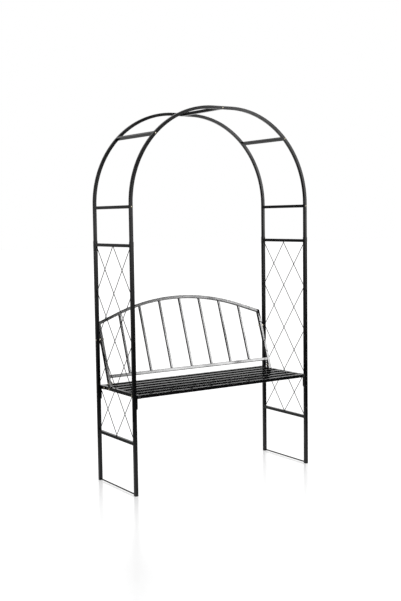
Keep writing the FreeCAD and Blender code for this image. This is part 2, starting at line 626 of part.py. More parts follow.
# Foot straps: plates on the inner faces that hold the uprights down on the side rails
foot_strap = new_body("foot_strap", is_node=False)
strap_outline = new_sketch(foot_strap, "outline", "YZ_Plane")
strap_radius = number("strap_width") / 2
strap_top = FreeCAD.Vector(0, number("strap_hole_spacing"), 0)
strap_side = FreeCAD.Vector(strap_radius, 0, 0)
top_circle = Part.Circle(strap_top, UP, strap_radius)
foot_circle = Part.Circle(FreeCAD.Vector(), UP, strap_radius)
strap_head = strap_outline.addGeometry(Part.ArcOfCircle(top_circle, 0, math.pi))
strap_left = strap_outline.addGeometry(Part.LineSegment(strap_top - strap_side, -strap_side))
strap_foot = strap_outline.addGeometry(Part.ArcOfCircle(foot_circle, math.pi, 2 * math.pi))
strap_right = strap_outline.addGeometry(Part.LineSegment(strap_side, strap_top + strap_side))
hold(strap_outline, "Tangent", strap_head, 2, strap_left, 1)
hold(strap_outline, "Tangent", strap_left, 2, strap_foot, 1)
hold(strap_outline, "Tangent", strap_foot, 2, strap_right, 1)
hold(strap_outline, "Tangent", strap_right, 2, strap_head, 1)
hold(strap_outline, "Radius", strap_foot, size="strap_width / 2")
hold_point(strap_outline, strap_foot, 3, "0", "0")
hold_point(strap_outline, strap_head, 3, "0", "strap_hole_spacing")
pad(foot_strap, strap_outline, "strap_thickness", centred=True)
drill(foot_strap, "holes", "YZ_Plane", [("0", "0"), ("0", "strap_hole_spacing")])
STRAP_X = f"({RAIL_IN} - strap_thickness / 2)"
strap_places = [
    {"x": f"{sign} * {STRAP_X}", "y": FOOT_BOLT_Y, "z": RAIL_HEIGHT, "axis": X_AXIS, "angle": f"-{LEAN}"}
    for side, sign in LEFT_RIGHT
]
group("backrest_foot_straps", foot_strap, strap_places)

# Spacers: rings that fill the gap between the uprights and the rear posts
spacer = new_body("spacer", is_node=False)
SPACER_LENGTH = f"({POST_IN} - {UPRIGHT_OUT})"
SPACER_X = f"({POST_IN} - {SPACER_LENGTH} / 2)"
spacer_section = new_sketch(spacer, "section", "YZ_Plane")
draw_circle(spacer_section, "spacer_size")
draw_circle(spacer_section, "bolt_hole")
pad(spacer, spacer_section, SPACER_LENGTH, centred=True)
spacer_places = [{"x": f"{sign} * {SPACER_X}", "y": POST_Y, "z": PIVOT_HEIGHT} for side, sign in LEFT_RIGHT]
group("backrest_spacers", spacer, spacer_places)

# Bolts: a domed head with a hexagon socket, its underside on the plate that it holds
DOME_RADIUS = "((bolt_head_size ^ 2 / 4 + bolt_head_height ^ 2) / (2 * bolt_head_height))"


def bolt(label, length):
    """A bolt with its head towards +Z and its shank down to -length."""
    body = new_body(label, is_node=False)
    profile = new_sketch(body, "profile", "XZ_Plane")
    shank = number("bolt_size") / 2
    head = number("bolt_head_size") / 2
    height = number("bolt_head_height")
    dome_radius = number(DOME_RADIUS)
    dome_centre = FreeCAD.Vector(0, height - dome_radius, 0)
    rim_angle = math.atan2(dome_radius - height, head)
    corners = [(0, height), (0, -number(length)), (shank, -number(length)), (shank, 0), (head, 0)]
    points = [FreeCAD.Vector(x, y, 0) for x, y in corners]
    sides = [profile.addGeometry(Part.LineSegment(*ends)) for ends in zip(points, points[1:])]
    dome_circle = Part.Circle(dome_centre, UP, dome_radius)
    dome = profile.addGeometry(Part.ArcOfCircle(dome_circle, rim_angle, math.pi / 2))
    for line, following in zip(sides, sides[1:]):
        hold(profile, "Coincident", line, 2, following, 1)
    hold(profile, "Coincident", sides[-1], 2, dome, 1)
    hold(profile, "Coincident", dome, 2, sides[0], 1)
    hold_point(profile, sides[0], 1, "0", "bolt_head_height")
    hold_point(profile, sides[1], 1, "0", f"-({length})")
    hold_point(profile, sides[2], 1, "bolt_size / 2", f"-({length})")
    hold_point(profile, sides[3], 1, "bolt_size / 2", "0")
    hold_point(profile, dome, 1, "bolt_head_size / 2", "0")
    hold(profile, "Radius", dome, size=DOME_RADIUS)
    turned = body.newObject("PartDesign::Revolution", f"{label}_turned")
    turned.Profile = profile
    turned.ReferenceAxis = (profile, ["V_Axis"])
    turned.Angle = 360
    document.recompute()
    socket = new_sketch(body, "socket", "XY_Plane", offset=("0", "0", "bolt_head_height"))
    draw_hexagon(socket, "bolt_socket")
    volume_before = body.Shape.Volume
    recess = body.newObject("PartDesign::Pocket", f"{label}_recess")
    recess.Profile = socket
    recess.setExpression("Length", bound("bolt_socket_depth"))
    document.recompute()
    if body.Shape.Volume > volume_before - 0.01:
        raise ValueError(f"{recess.Name} cuts nothing")
    return body


# Nuts: hexagon nuts inside the frame and square threaded nuts in the ends of the crossbars
hex_nut = new_body("hex_nut", is_node=False)
nut_outline = new_sketch(hex_nut, "outline", "XY_Plane")
draw_hexagon(nut_outline, "nut_size")
draw_circle(nut_outline, NUT_BORE)
pad(hex_nut, nut_outline, "nut_thickness")

end_nut = new_body("end_nut", is_node=False)
end_nut_outline = new_sketch(end_nut, "outline", "XZ_Plane")
draw_rounded_square(end_nut_outline, INNER_SIZE, BORE_CORNER)
draw_circle(end_nut_outline, NUT_BORE)
pad(end_nut, end_nut_outline, "end_nut_length", centred=True)

# Crossbar fasteners: a bolt through each arch tube into the nut behind it
crossbar_bolt = bolt("crossbar_bolt", "tube_size + end_nut_length")
crossbar_bolt_places = [
    {"x": x, "y": f"{way} * ({POST_Y} + tube_size / 2)", "z": z, "axis": X_AXIS, "angle": str(-90 * way)}
    for name, x, z, turn in crossbars
    for end, way in FRONT_REAR
]
group("crossbar_bolts", crossbar_bolt, crossbar_bolt_places)
END_NUT_Y = f"(({CROSS_LENGTH}) / 2 - end_nut_length / 2)"
crossbar_nut_places = [
    {"x": x, "y": f"{way} * {END_NUT_Y}", "z": z, "axis": Y_AXIS, "angle": f"-({turn})"}
    for name, x, z, turn in crossbars
    for end, way in FRONT_REAR
]
group("crossbar_end_nuts", end_nut, crossbar_nut_places)

# Side fasteners: bolts with their heads outside and their nuts on the inner faces
NUT_REACH = "(nut_thickness + 1)"


def outwards(sign, x, y, z):
    """A place on one side of the frame, with +Z turned away from the middle."""
    return {"x": f"{sign} * {x}", "y": y, "z": z, "axis": Y_AXIS, "angle": str(90 * sign)}


seat_bolt = bolt("seat_bolt", f"bracket_thickness + seat_tube_size + {NUT_REACH}")
post_bolt = bolt("post_bolt", f"{POST_SIZE} + {SPACER_LENGTH} + tube_size + {NUT_REACH}")
foot_bolt = bolt("foot_bolt", f"seat_tube_size + strap_thickness + {NUT_REACH}")
POST_OUT = f"({POST_X} + {POST_SIZE} / 2)"
NUT_X = f"({RAIL_IN} - nut_thickness)"
STRAP_NUT_X = f"({RAIL_IN} - strap_thickness - nut_thickness)"
STRAP_TOP_Y = f"({FOOT_BOLT_Y} + strap_hole_spacing * sin({LEAN}))"
STRAP_TOP_HEIGHT = f"({RAIL_HEIGHT} + strap_hole_spacing * cos({LEAN}))"
bracket_bolt_points = [(f"{way} * {BRACKET_BOLT_Y}", RAIL_HEIGHT) for end, way in FRONT_REAR]
strap_bolt_points = [(RAIL_OUT, FOOT_BOLT_Y, RAIL_HEIGHT), (UPRIGHT_OUT, STRAP_TOP_Y, STRAP_TOP_HEIGHT)]
signs = [sign for side, sign in LEFT_RIGHT]
seat_bolt_places = [outwards(sign, POST_IN, *at) for sign in signs for at in bracket_bolt_points]
group("seat_bolts", seat_bolt, seat_bolt_places)
seat_nut_places = [outwards(sign, NUT_X, *at) for sign in signs for at in bracket_bolt_points]
group("seat_nuts", hex_nut, seat_nut_places)
pivot_point = (POST_Y, PIVOT_HEIGHT)
group("backrest_post_bolts", post_bolt, [outwards(sign, POST_OUT, *pivot_point) for sign in signs])
foot_bolt_places = [outwards(sign, *at) for sign in signs for at in strap_bolt_points]
group("backrest_foot_bolts", foot_bolt, foot_bolt_places)
back_nut_places = [outwards(sign, NUT_X, *pivot_point) for sign in signs]
back_nut_places += [outwards(sign, STRAP_NUT_X, *at[1:]) for sign in signs for at in strap_bolt_points]
group("backrest_nuts", hex_nut, back_nut_places)

# Every object is checked before any file is written
document.recompute()
for item in document.Objects:
    if "Invalid" in item.State or "Error" in item.State:
        raise ValueError(f"{item.Label} did not build: {item.State}")
for node in nodes:
    if node.Shape.isNull() or not node.Shape.isValid() or not node.Shape.Solids:
        raise ValueError(f"{node.Label} has no valid solid")

os.makedirs("parts", exist_ok=True)
for node in nodes:
    node.Shape.exportStep(f"parts/{node.Label}.step")
print(f"{len(nodes)} nodes, lean {number(LEAN):.2f} degrees, crown at {number(CROWN_HEIGHT):.1f} mm")
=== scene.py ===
import math

import bpy
from mathutils import Matrix, Vector


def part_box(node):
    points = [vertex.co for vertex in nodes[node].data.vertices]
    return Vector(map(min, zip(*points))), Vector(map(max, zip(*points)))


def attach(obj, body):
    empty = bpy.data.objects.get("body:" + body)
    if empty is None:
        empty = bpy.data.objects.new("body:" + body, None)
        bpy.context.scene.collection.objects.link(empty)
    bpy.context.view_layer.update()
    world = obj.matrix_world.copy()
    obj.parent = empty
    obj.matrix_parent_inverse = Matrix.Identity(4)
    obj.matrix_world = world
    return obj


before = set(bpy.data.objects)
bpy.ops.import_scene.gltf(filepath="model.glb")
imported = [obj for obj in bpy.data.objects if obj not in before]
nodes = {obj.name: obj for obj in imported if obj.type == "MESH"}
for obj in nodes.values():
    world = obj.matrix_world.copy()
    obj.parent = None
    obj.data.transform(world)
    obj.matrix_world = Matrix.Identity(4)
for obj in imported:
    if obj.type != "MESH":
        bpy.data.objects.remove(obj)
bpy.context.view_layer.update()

# Camera: the photograph's viewpoint, 1.4 m above the ground in front and to the left of the seat,
# solved from points on the posts, arches, wires and seat. It looks down a little and has almost no roll.
FRAME_HEIGHT_PX = 601
FOCAL_PX = 966.4
SENSOR_MM = 36
CAMERA_PLACE = (-3.0363, -4.5302, 1.4447)
CAMERA_YAW = math.radians(33.63)
CAMERA_PITCH = math.radians(-4.82)
CAMERA_ROLL = math.radians(-0.76)

camera_data = bpy.data.cameras.new("camera")
camera_data.lens = FOCAL_PX / FRAME_HEIGHT_PX * SENSOR_MM
camera_data.sensor_width = SENSOR_MM
camera = bpy.data.objects.new("camera", camera_data)
bpy.context.scene.collection.objects.link(camera)
camera.matrix_world = (
    Matrix.Translation(CAMERA_PLACE)
    @ Matrix.Rotation(-CAMERA_YAW, 4, "Z")
    @ Matrix.Rotation(math.pi / 2 + CAMERA_PITCH, 4, "X")
    @ Matrix.Rotation(CAMERA_ROLL, 4, "Z")
)
bpy.context.scene.camera = camera
bpy.context.scene.view_settings.view_transform = "Standard"


# Studio: a white sweep behind the object and, in front of it, a dim room with a pale stretch of wall
# at eye height and a large softbox on the right, brightest in its lower left corner. The camera sees
# plain white, and only the gloss of the paint sees the room as it is.
def to_linear(hex_colour):
    """The linear colour of an sRGB hex value."""
    channels = [int(hex_colour[i:i + 2], 16) / 255 for i in (1, 3, 5)]
    return [c / 12.92 if c <= 0.04045 else ((c + 0.055) / 1.055) ** 2.4 for c in channels] + [1.0]


def add_node(tree, kind, settings=None, links=None):
    """Adds a node, sets its properties and inputs, and joins outputs of other nodes to its inputs."""
    node = tree.nodes.new(kind)
    for name, value in (settings or {}).items():
        if isinstance(name, int) or name in node.inputs:
            node.inputs[name].default_value = value
        else:
            setattr(node, name, value)
    for name, output in (links or {}).items():
        tree.links.new(node.inputs[name], output)
    return node


WHITE = to_linear("#ffffff")
FILL = 0.55
# A span is where a soft edge begins and ends, on a sphere of radius 1 round the object
SWEEP_TOWARDS = (0.45, 0.89, 0.0)
SWEEP_SPAN = (0.3, 1.0)
SWEEP_EDGE_STRENGTH = 0.02
SWEEP_STRENGTH = 1.0
FRONT_SPAN = (-0.5, -0.1)
WALL_HALF_HEIGHT = 0.06
WALL_STRENGTH = 2.6
BOX_ACROSS = (0.8141, 0.5807, 0.0)
BOX_LEFT_SPAN = (-0.035, 0.0)
BOX_BOTTOM_SPAN = (0.0, 0.03)
BOX_TOP_SPAN = (0.2, 0.3)
BOX_STRENGTH = 1.6
CORNER_RIGHT_SPAN = (0.04, 0.10)
CORNER_TOP_SPAN = (0.12, 0.15)
CORNER_STRENGTH = 5.5


def sweep_and_front(tree, direction):
    """How brightly the sweep shines from a direction, and how far to the front that direction lies."""
    facing = add_node(
        tree, "ShaderNodeVectorMath", {"operation": "DOT_PRODUCT", 1: SWEEP_TOWARDS}, {0: direction}
    ).outputs["Value"]
    sweep = add_node(
        tree, "ShaderNodeMapRange",
        {"From Min": SWEEP_SPAN[0], "From Max": SWEEP_SPAN[1],
         "To Min": SWEEP_EDGE_STRENGTH, "To Max": SWEEP_STRENGTH},
        {"Value": facing},
    )
    front = add_node(
        tree, "ShaderNodeMapRange",
        {"From Min": FRONT_SPAN[0], "From Max": FRONT_SPAN[1], "To Min": 1.0, "To Max": 0.0},
        {"Value": facing},
    )
    return sweep.outputs["Result"], front.outputs["Result"]


world = bpy.data.worlds.new("studio_room")
bpy.context.scene.world = world
world.use_nodes = True
tree = world.node_tree
tree.nodes.clear()
direction = add_node(tree, "ShaderNodeTexCoord").outputs["Generated"]
height = add_node(tree, "ShaderNodeSeparateXYZ", links={0: direction}).outputs["Z"]
sweep, front = sweep_and_front(tree, direction)
from_eye_height = add_node(tree, "ShaderNodeMath", {"operation": "ABSOLUTE"}, {0: height})
wall = add_node(
    tree, "ShaderNodeMapRange",
    {"interpolation_type": "SMOOTHSTEP", "From Min": 0.0, "From Max": WALL_HALF_HEIGHT,
     "To Min": WALL_STRENGTH, "To Max": 0.0},
    {"Value": from_eye_height.outputs[0]},
)
across = add_node(
    tree, "ShaderNodeVectorMath", {"operation": "DOT_PRODUCT", 1: BOX_ACROSS}, {0: direction}
).outputs["Value"]
left_side_strength = add_node(
    tree, "ShaderNodeMapRange",
    {"From Min": CORNER_TOP_SPAN[0], "From Max": CORNER_TOP_SPAN[1],
     "To Min": CORNER_STRENGTH, "To Max": BOX_STRENGTH},
    {"Value": height},
)
box_strength = add_node(
    tree, "ShaderNodeMapRange",
    {"From Min": CORNER_RIGHT_SPAN[0], "From Max": CORNER_RIGHT_SPAN[1], "To Max": BOX_STRENGTH},
    {"Value": across, "To Min": left_side_strength.outputs["Result"]},
)
box = add_node(
    tree, "ShaderNodeMapRange",
    {"From Min": BOX_LEFT_SPAN[0], "From Max": BOX_LEFT_SPAN[1]},
    {"Value": across, "To Max": box_strength.outputs["Result"]},
)
above_bottom = add_node(
    tree, "ShaderNodeMapRange",
    {"From Min": BOX_BOTTOM_SPAN[0], "From Max": BOX_BOTTOM_SPAN[1]},
    {"Value": height},
)
below_top = add_node(
    tree, "ShaderNodeMapRange",
    {"From Min": BOX_TOP_SPAN[0], "From Max": BOX_TOP_SPAN[1], "To Min": 1.0, "To Max": 0.0},
    {"Value": height},
)
box_height = add_node(
    tree, "ShaderNodeMath", {"operation": "MULTIPLY"},
    {0: above_bottom.outputs["Result"], 1: below_top.outputs["Result"]},
)
wall_and_box = add_node(
    tree, "ShaderNodeMath", {"operation": "MULTIPLY_ADD"},
    {0: box.outputs["Result"], 1: box_height.outputs[0], 2: wall.outputs["Result"]},
)
strength = add_node(
    tree, "ShaderNodeMath", {"operation": "MULTIPLY_ADD"}, {0: front, 1: wall_and_box.outputs[0], 2: sweep}
)
room = add_node(tree, "ShaderNodeBackground", {"Color": WHITE}, {"Strength": strength.outputs[0]})
fill = add_node(tree, "ShaderNodeBackground", {"Color": WHITE, "Strength": FILL})
plain_white = add_node(tree, "ShaderNodeBackground", {"Color": WHITE, "Strength": 1.0})
path = add_node(tree, "ShaderNodeLightPath")
lit = add_node(
    tree, "ShaderNodeMixShader",
    links={0: path.outputs["Is Glossy Ray"], 1: fill.outputs[0], 2: room.outputs[0]},
)
seen = add_node(
    tree, "ShaderNodeMixShader",
    links={0: path.outputs["Is Camera Ray"], 1: lit.outputs[0], 2: plain_white.outputs[0]},
)
add_node(tree, "ShaderNodeOutputWorld", links={0: seen.outputs[0]})

# Key light: the middle of the softbox, in front and to the right of the object and above it. It
# whitens the leaning face of the back, while the upright faces of the posts reflect the dark below.
KEY_FROM = Vector((0.577, -0.737, 0.355))
KEY_ANGLE = math.radians(13)
KEY_STRENGTH = 1.05

key_data = bpy.data.lights.new("key_softbox", "SUN")
key_data.energy = KEY_STRENGTH
key_data.angle = KEY_ANGLE
key = bpy.data.objects.new("key_softbox", key_data)
key.rotation_euler = (-KEY_FROM).to_track_quat("-Z", "Y").to_euler()
bpy.context.scene.collection.objects.link(key)

# Top light: a weaker and much broader softbox straight overhead, so that the floor is evenly lit
# and the shadow on it is soft.
TOP_ANGLE = math.radians(60)
TOP_STRENGTH = 0.6

top_data = bpy.data.lights.new("top_softbox", "SUN")
top_data.energy = TOP_STRENGTH
top_data.angle = TOP_ANGLE
top = bpy.data.objects.new("top_softbox", top_data)
bpy.context.scene.collection.objects.link(top)

# Floor: a sheet of white satin laminate, level under the feet. A glow tops it up to white for the
# camera, and the gloss of the paint sees it pale near by, dark in front and pale far away. A flag
# keeps the key off it, because its glare would swallow the thin wires from behind.
FLOOR_SIZE = 80
LAMINATE_WHITE = "#bcbcbc"
LAMINATE_ROUGHNESS = 0.26
FLOOR_GLOSS = 0.50
FLOOR_GLOW = 0.55
NEAR_SPAN = (0.4, 2.4)
NEAR_STRENGTH = 0.75
FAR_SPAN = (4.0, 20.0)
FAR_STRENGTH = 0.9


def new_material(name):
    """A material with empty nodes, and its node tree."""
    material = bpy.data.materials.new(name)
    material.use_nodes = True
    material.node_tree.nodes.clear()
    return material, material.node_tree


bpy.ops.object.select_all(action="DESELECT")
bpy.ops.mesh.primitive_plane_add(size=FLOOR_SIZE)
floor = bpy.context.object
floor.name = "studio_floor"
flagged_off = bpy.data.collections.new("flagged_off_the_key")
flagged_off.objects.link(floor)
flagged_off.collection_objects[0].light_linking.link_state = "EXCLUDE"
key.light_linking.receiver_collection = flagged_off

laminate, tree = new_material("white_satin_laminate")
board = add_node(tree, "ShaderNodeBsdfDiffuse", {"Color": to_linear(LAMINATE_WHITE)})
shine = add_node(tree, "ShaderNodeBsdfGlossy", {"Color": WHITE, "Roughness": LAMINATE_ROUGHNESS})
surface = add_node(
    tree, "ShaderNodeMixShader", {0: FLOOR_GLOSS}, {1: board.outputs[0], 2: shine.outputs[0]}
)
glow = add_node(tree, "ShaderNodeEmission", {"Strength": FLOOR_GLOW})
topped_up = add_node(tree, "ShaderNodeAddShader", links={0: surface.outputs[0], 1: glow.outputs[0]})
place = add_node(tree, "ShaderNodeTexCoord").outputs["Object"]
distance = add_node(tree, "ShaderNodeVectorMath", {"operation": "LENGTH"}, {0: place}).outputs["Value"]
towards = add_node(tree, "ShaderNodeVectorMath", {"operation": "NORMALIZE"}, {0: place}).outputs[0]
sweep, front = sweep_and_front(tree, towards)
near = add_node(
    tree, "ShaderNodeMapRange",
    {"interpolation_type": "SMOOTHSTEP", "From Min": NEAR_SPAN[0], "From Max": NEAR_SPAN[1],
     "To Min": NEAR_STRENGTH, "To Max": 0.0},
    {"Value": distance},
)
far = add_node(
    tree, "ShaderNodeMapRange",
    {"interpolation_type": "SMOOTHSTEP", "From Min": FAR_SPAN[0], "From Max": FAR_SPAN[1],
     "To Min": 0.0, "To Max": FAR_STRENGTH},
    {"Value": distance},
)
far_or_sweep = add_node(
    tree, "ShaderNodeMath", {"operation": "MULTIPLY_ADD"}, {0: front, 1: far.outputs["Result"], 2: sweep}
)
strength = add_node(
    tree, "ShaderNodeMath", {"operation": "MAXIMUM"},
    {0: near.outputs["Result"], 1: far_or_sweep.outputs[0]},
)
mirrored = add_node(tree, "ShaderNodeEmission", links={"Strength": strength.outputs[0]})
path = add_node(tree, "ShaderNodeLightPath")
for_gloss = add_node(
    tree, "ShaderNodeMixShader",
    links={0: path.outputs["Is Glossy Ray"], 1: board.outputs[0], 2: mirrored.outputs[0]},
)
for_camera = add_node(
    tree, "ShaderNodeMixShader",
    links={0: path.outputs["Is Camera Ray"], 1: for_gloss.outputs[0], 2: topped_up.outputs[0]},
)
add_node(tree, "ShaderNodeOutputMaterial", links={0: for_camera.outputs[0]})
floor.data.materials.append(laminate)

# Posts and arches: cold-rolled square steel tube, the arch halves bent on a former. All of the
# steel is shot-blasted, sprayed with black polyester powder and baked at about 190 degrees.
COAT_BLACK = "#070708"
COAT_HAZE = "#0d0d0e"
CLOUD_MM = 83.33
PEEL_DEPTH = 0.00003
MERGE_GAP = 0.00001
CORNER_ANGLE = math.radians(32)


def powder_coat(name, roughness, peel_mm):
    """Baked powder coat: black resin with a cloudy satin gloss and a fine orange peel."""
    material, tree = new_material(name)
    place = add_node(tree, "ShaderNodeTexCoord").outputs["Object"]
    # Orange peel is about 1 mm across and is drawn coarser, so that it shows in a close view
    peel = add_node(
        tree, "ShaderNodeTexNoise", {"Scale": 1000 / peel_mm, "Detail": 1.5, "Roughness": 0.4},
        {"Vector": place},
    )
    # Uneven spraying and handling leave cloudy patches about a hand wide
    cloud = add_node(
        tree, "ShaderNodeTexNoise", {"Scale": 1000 / CLOUD_MM, "Detail": 3.0, "Roughness": 0.6},
        {"Vector": place},
    )
    gloss = add_node(
        tree, "ShaderNodeMapRange",
        {"From Min": 0.3, "From Max": 0.7, "To Min": roughness - 0.04, "To Max": roughness + 0.05},
        {"Value": cloud.outputs["Fac"]},
    )
    tone = add_node(
        tree, "ShaderNodeMix", {"data_type": "RGBA", 6: to_linear(COAT_BLACK), 7: to_linear(COAT_HAZE)},
        {0: cloud.outputs["Fac"]},
    )
    bump = add_node(
        tree, "ShaderNodeBump", {"Strength": 0.5, "Distance": PEEL_DEPTH}, {"Height": peel.outputs["Fac"]}
    )
    resin = add_node(
        tree, "ShaderNodeBsdfPrincipled", {"IOR": 1.5, "Specular IOR Level": 0.35},
        {"Base Color": tone.outputs[2], "Roughness": gloss.outputs["Result"],
         "Normal": bump.outputs["Normal"]},
    )
    add_node(tree, "ShaderNodeOutputMaterial", links={0: resin.outputs[0]})
    return material


def finish_nodes(names, material):
    """Gives CAD nodes their finish: doubles merged, corners kept, curved faces smooth."""
    for name in names:
        piece = nodes[name]
        piece.data.materials.clear()
        piece.data.materials.append(material)
        piece.data.polygons.foreach_set("use_smooth", [True] * len(piece.data.polygons))
        merge = piece.modifiers.new("merge", "WELD")
        merge.merge_threshold = MERGE_GAP
        edges = piece.modifiers.new("edges", "EDGE_SPLIT")
        edges.split_angle = CORNER_ANGLE
        edges.use_edge_sharp = False
        weighted = piece.modifiers.new("weighted", "WEIGHTED_NORMAL")
        weighted.keep_sharp = True


tube_coat = powder_coat("black_powder_coat", roughness=0.15, peel_mm=2.5)
for end in ("front", "rear"):
    finish_nodes([f"post_{end}_left", f"post_{end}_right"], tube_coat)
    finish_nodes([f"arch_half_{end}_left", f"arch_half_{end}_right"], tube_coat)

# Crossbars: lengths of the arch tube between the front and rear arches, each drawn up by a bolt
# at either end.
finish_nodes(["crossbar_crown"], tube_coat)
for side in ("left", "right"):
    finish_nodes([f"crossbar_{side}_shoulder", f"crossbar_{side}_haunch"], tube_coat)

# Side panels: two rungs of the arch tube and a round ground bar between the posts of a side. Their
# ends are welded all round with a small torch, so that a rippled bead shows under the paint.
RIPPLE = 0.0016
BEAD_WOBBLE = 0.08
RUNG_BEAD = 0.015
RUNG_BEAD_RADIUS = 0.0015
RING_BEAD_RADIUS = 0.0011
RING_CLEARANCE = 0.0002
RING_WOBBLE = 0.0002


def weld_bead(length, radius):
    """A hand-laid bead along Z with its middle at the origin, drawn out ripple by ripple."""
    widths = [0.4, 0.85] + [1.0, 0.8] * round(length / RIPPLE) + [0.85, 0.4]
    step = length / (len(widths) - 1)
    bpy.ops.object.select_all(action="DESELECT")
    bpy.ops.mesh.primitive_circle_add(
        vertices=8, radius=widths[0] * radius, fill_type="NGON", location=(0, 0, -length / 2)
    )
    bead = bpy.context.object
    bpy.ops.object.mode_set(mode="EDIT")
    for width, next_width in zip(widths, widths[1:]):
        bpy.ops.mesh.extrude_region_move(TRANSFORM_OT_translate={"value": (0, 0, step)})
        bpy.ops.transform.resize(value=(next_width / width, next_width / width, 1))
    bpy.ops.mesh.select_all(action="SELECT")
    bpy.ops.mesh.normals_make_consistent(inside=False)
    bpy.ops.transform.vertex_random(offset=BEAD_WOBBLE * radius, seed=7)
    bpy.ops.object.mode_set(mode="OBJECT")
    bpy.ops.object.shade_smooth()
    bpy.ops.object.transform_apply()
    return bead


def lay_welds(name, runs, coat):
    """Copies each master weld to its places and directions, and joins them all into one piece."""
    welds = []
    for master, places in runs:
        for middle, along in places:
            weld = master.copy()
            weld.data = master.data.copy()
            bpy.context.scene.collection.objects.link(weld)
            turn = Vector(along).to_track_quat("Z", "Y").to_matrix().to_4x4()
            weld.matrix_world = Matrix.Translation(middle) @ turn
            welds.append(weld)
        bpy.data.objects.remove(master)
    bpy.ops.object.select_all(action="DESELECT")
    for weld in welds:
        weld.select_set(True)
    bpy.context.view_layer.objects.active = welds[0]
    bpy.ops.object.join()
    bpy.ops.object.transform_apply()
    piece = bpy.context.object
    piece.name = name
    piece.data.materials.clear()
    piece.data.materials.append(coat)
    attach(piece, "root")


def round_tube_end(middle, across, upward, size):
    """The four places and directions of beads round the end of a square tube."""
    middle, across, upward = Vector(middle), Vector(across), Vector(upward)
    sides = [(middle + way * size / 2 * across, upward) for way in (-1, 1)]
    return sides + [(middle + way * size / 2 * upward, across) for way in (-1, 1)]


for side in ("left", "right"):
    finish_nodes([f"panel_rung_upper_{side}", f"panel_rung_lower_{side}", f"ground_bar_{side}"], tube_coat)
    rung_ends = []
    for level in ("upper", "lower"):
        low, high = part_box(f"panel_rung_{level}_{side}")
        middle = (low + high) / 2
        for y in (low.y, high.y):
            rung_ends += round_tube_end((middle.x, y, middle.z), (1, 0, 0), (0, 0, 1), high.z - low.z)
    low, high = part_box(f"ground_bar_{side}")
    middle = (low + high) / 2
    bar_ends = [((middle.x, y, middle.z), (0, 1, 0)) for y in (low.y, high.y)]
    bpy.ops.object.select_all(action="DESELECT")
    bpy.ops.mesh.primitive_torus_add(
        major_segments=14, minor_segments=8,
        major_radius=(high.z - low.z) / 2 + RING_CLEARANCE, minor_radius=RING_BEAD_RADIUS,
    )
    ring = bpy.context.object
    bpy.ops.object.mode_set(mode="EDIT")
    bpy.ops.mesh.select_all(action="SELECT")
    bpy.ops.transform.vertex_random(offset=RING_WOBBLE, seed=3)
    bpy.ops.object.mode_set(mode="OBJECT")
    bpy.ops.object.shade_smooth()
    rung_bead = weld_bead(RUNG_BEAD, RUNG_BEAD_RADIUS)
    lay_welds(f"panel_welds_{side}", [(rung_bead, rung_ends), (ring, bar_ends)], tube_coat)

# Lattice: straight lengths of drawn steel wire in two layers, resistance-welded where they cross
# and at their ends. The wire takes the powder a little duller than the tube does.
LATTICE_ROWS = 4
CROSSING_RADIUS = 0.0027
CROSSING_THICKNESS = 0.0030
END_RADIUS = 0.0033
END_THICKNESS = 0.0026
CORNER_INSET = 0.001
NUGGET_WOBBLE = 0.1

wire_coat = powder_coat("black_coated_wire", roughness=0.22, peel_mm=2.0)


def nugget(radius, thickness):
    """The squeezed-out metal of a resistance weld: a small uneven lens, flat along Z."""
    bpy.ops.object.select_all(action="DESELECT")
    bpy.ops.mesh.primitive_uv_sphere_add(segments=10, ring_count=6, radius=radius)
    lens = bpy.context.object
    bpy.ops.object.mode_set(mode="EDIT")
    bpy.ops.mesh.select_all(action="SELECT")
    bpy.ops.transform.resize(value=(1, 1, thickness / (2 * radius)))
    bpy.ops.transform.vertex_random(offset=NUGGET_WOBBLE * radius, seed=11)
    bpy.ops.object.mode_set(mode="OBJECT")
    bpy.ops.object.shade_smooth()
    return lens


for side in ("left", "right"):
    finish_nodes([f"lattice_{side}_rising", f"lattice_{side}_falling"], wire_coat)
    low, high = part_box(f"lattice_{side}_rising")
    falling_low, falling_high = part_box(f"lattice_{side}_falling")
    row = (high.z - low.z) / LATTICE_ROWS
    half_depth = (high.y - low.y) / 2
    rising_x = (low.x + high.x) / 2
    falling_x = (falling_low.x + falling_high.x) / 2
    lowest, highest = low.z + CORNER_INSET, high.z - CORNER_INSET
    # The wires cross at two places on every odd half row, and in the middle on the even ones
    crossings = []
    for step in range(1, 2 * LATTICE_ROWS):
        for y in (-half_depth / 2, half_depth / 2) if step % 2 else (0.0,):
            crossings.append((((rising_x + falling_x) / 2, y, low.z + step * row / 2), (1, 0, 0)))
    ends = []
    for x in (rising_x, falling_x):
        ends += [((x, 0.0, z), (0, 0, 1)) for z in (low.z, high.z)]
        for y in (-half_depth, half_depth):
            ends += [((x, y, low.z + step * row), (0, 1, 0)) for step in range(1, LATTICE_ROWS)]
    ends += [((rising_x, -half_depth, lowest), (0, 1, 0)), ((falling_x, half_depth, lowest), (0, 1, 0))]
    ends += [((rising_x, half_depth, highest), (0, 1, 0)), ((falling_x, -half_depth, highest), (0, 1, 0))]
    lay_welds(
        f"lattice_welds_{side}",
        [(nugget(CROSSING_RADIUS, CROSSING_THICKNESS), crossings), (nugget(END_RADIUS, END_THICKNESS), ends)],
        wire_coat,
    )

# Seat: a frame of tube with five slats welded between its side rails, below and beside each slat
# so that the top stays smooth. Four plates, welded to the posts, carry it on bolts.
SLATS = 5
SLAT_BEAD_RADIUS = 0.0014
SLAT_SIDE_BEAD = 0.014
SLAT_BOTTOM_BEAD = 0.016
SIDE_BEAD_DROP = 0.001
BRACKET_BEAD = 0.032
BRACKET_BEAD_RADIUS = 0.0015
BRACKET_BEAD_RISE = 0.030
BRACKET_BEAD_INSET = 0.001

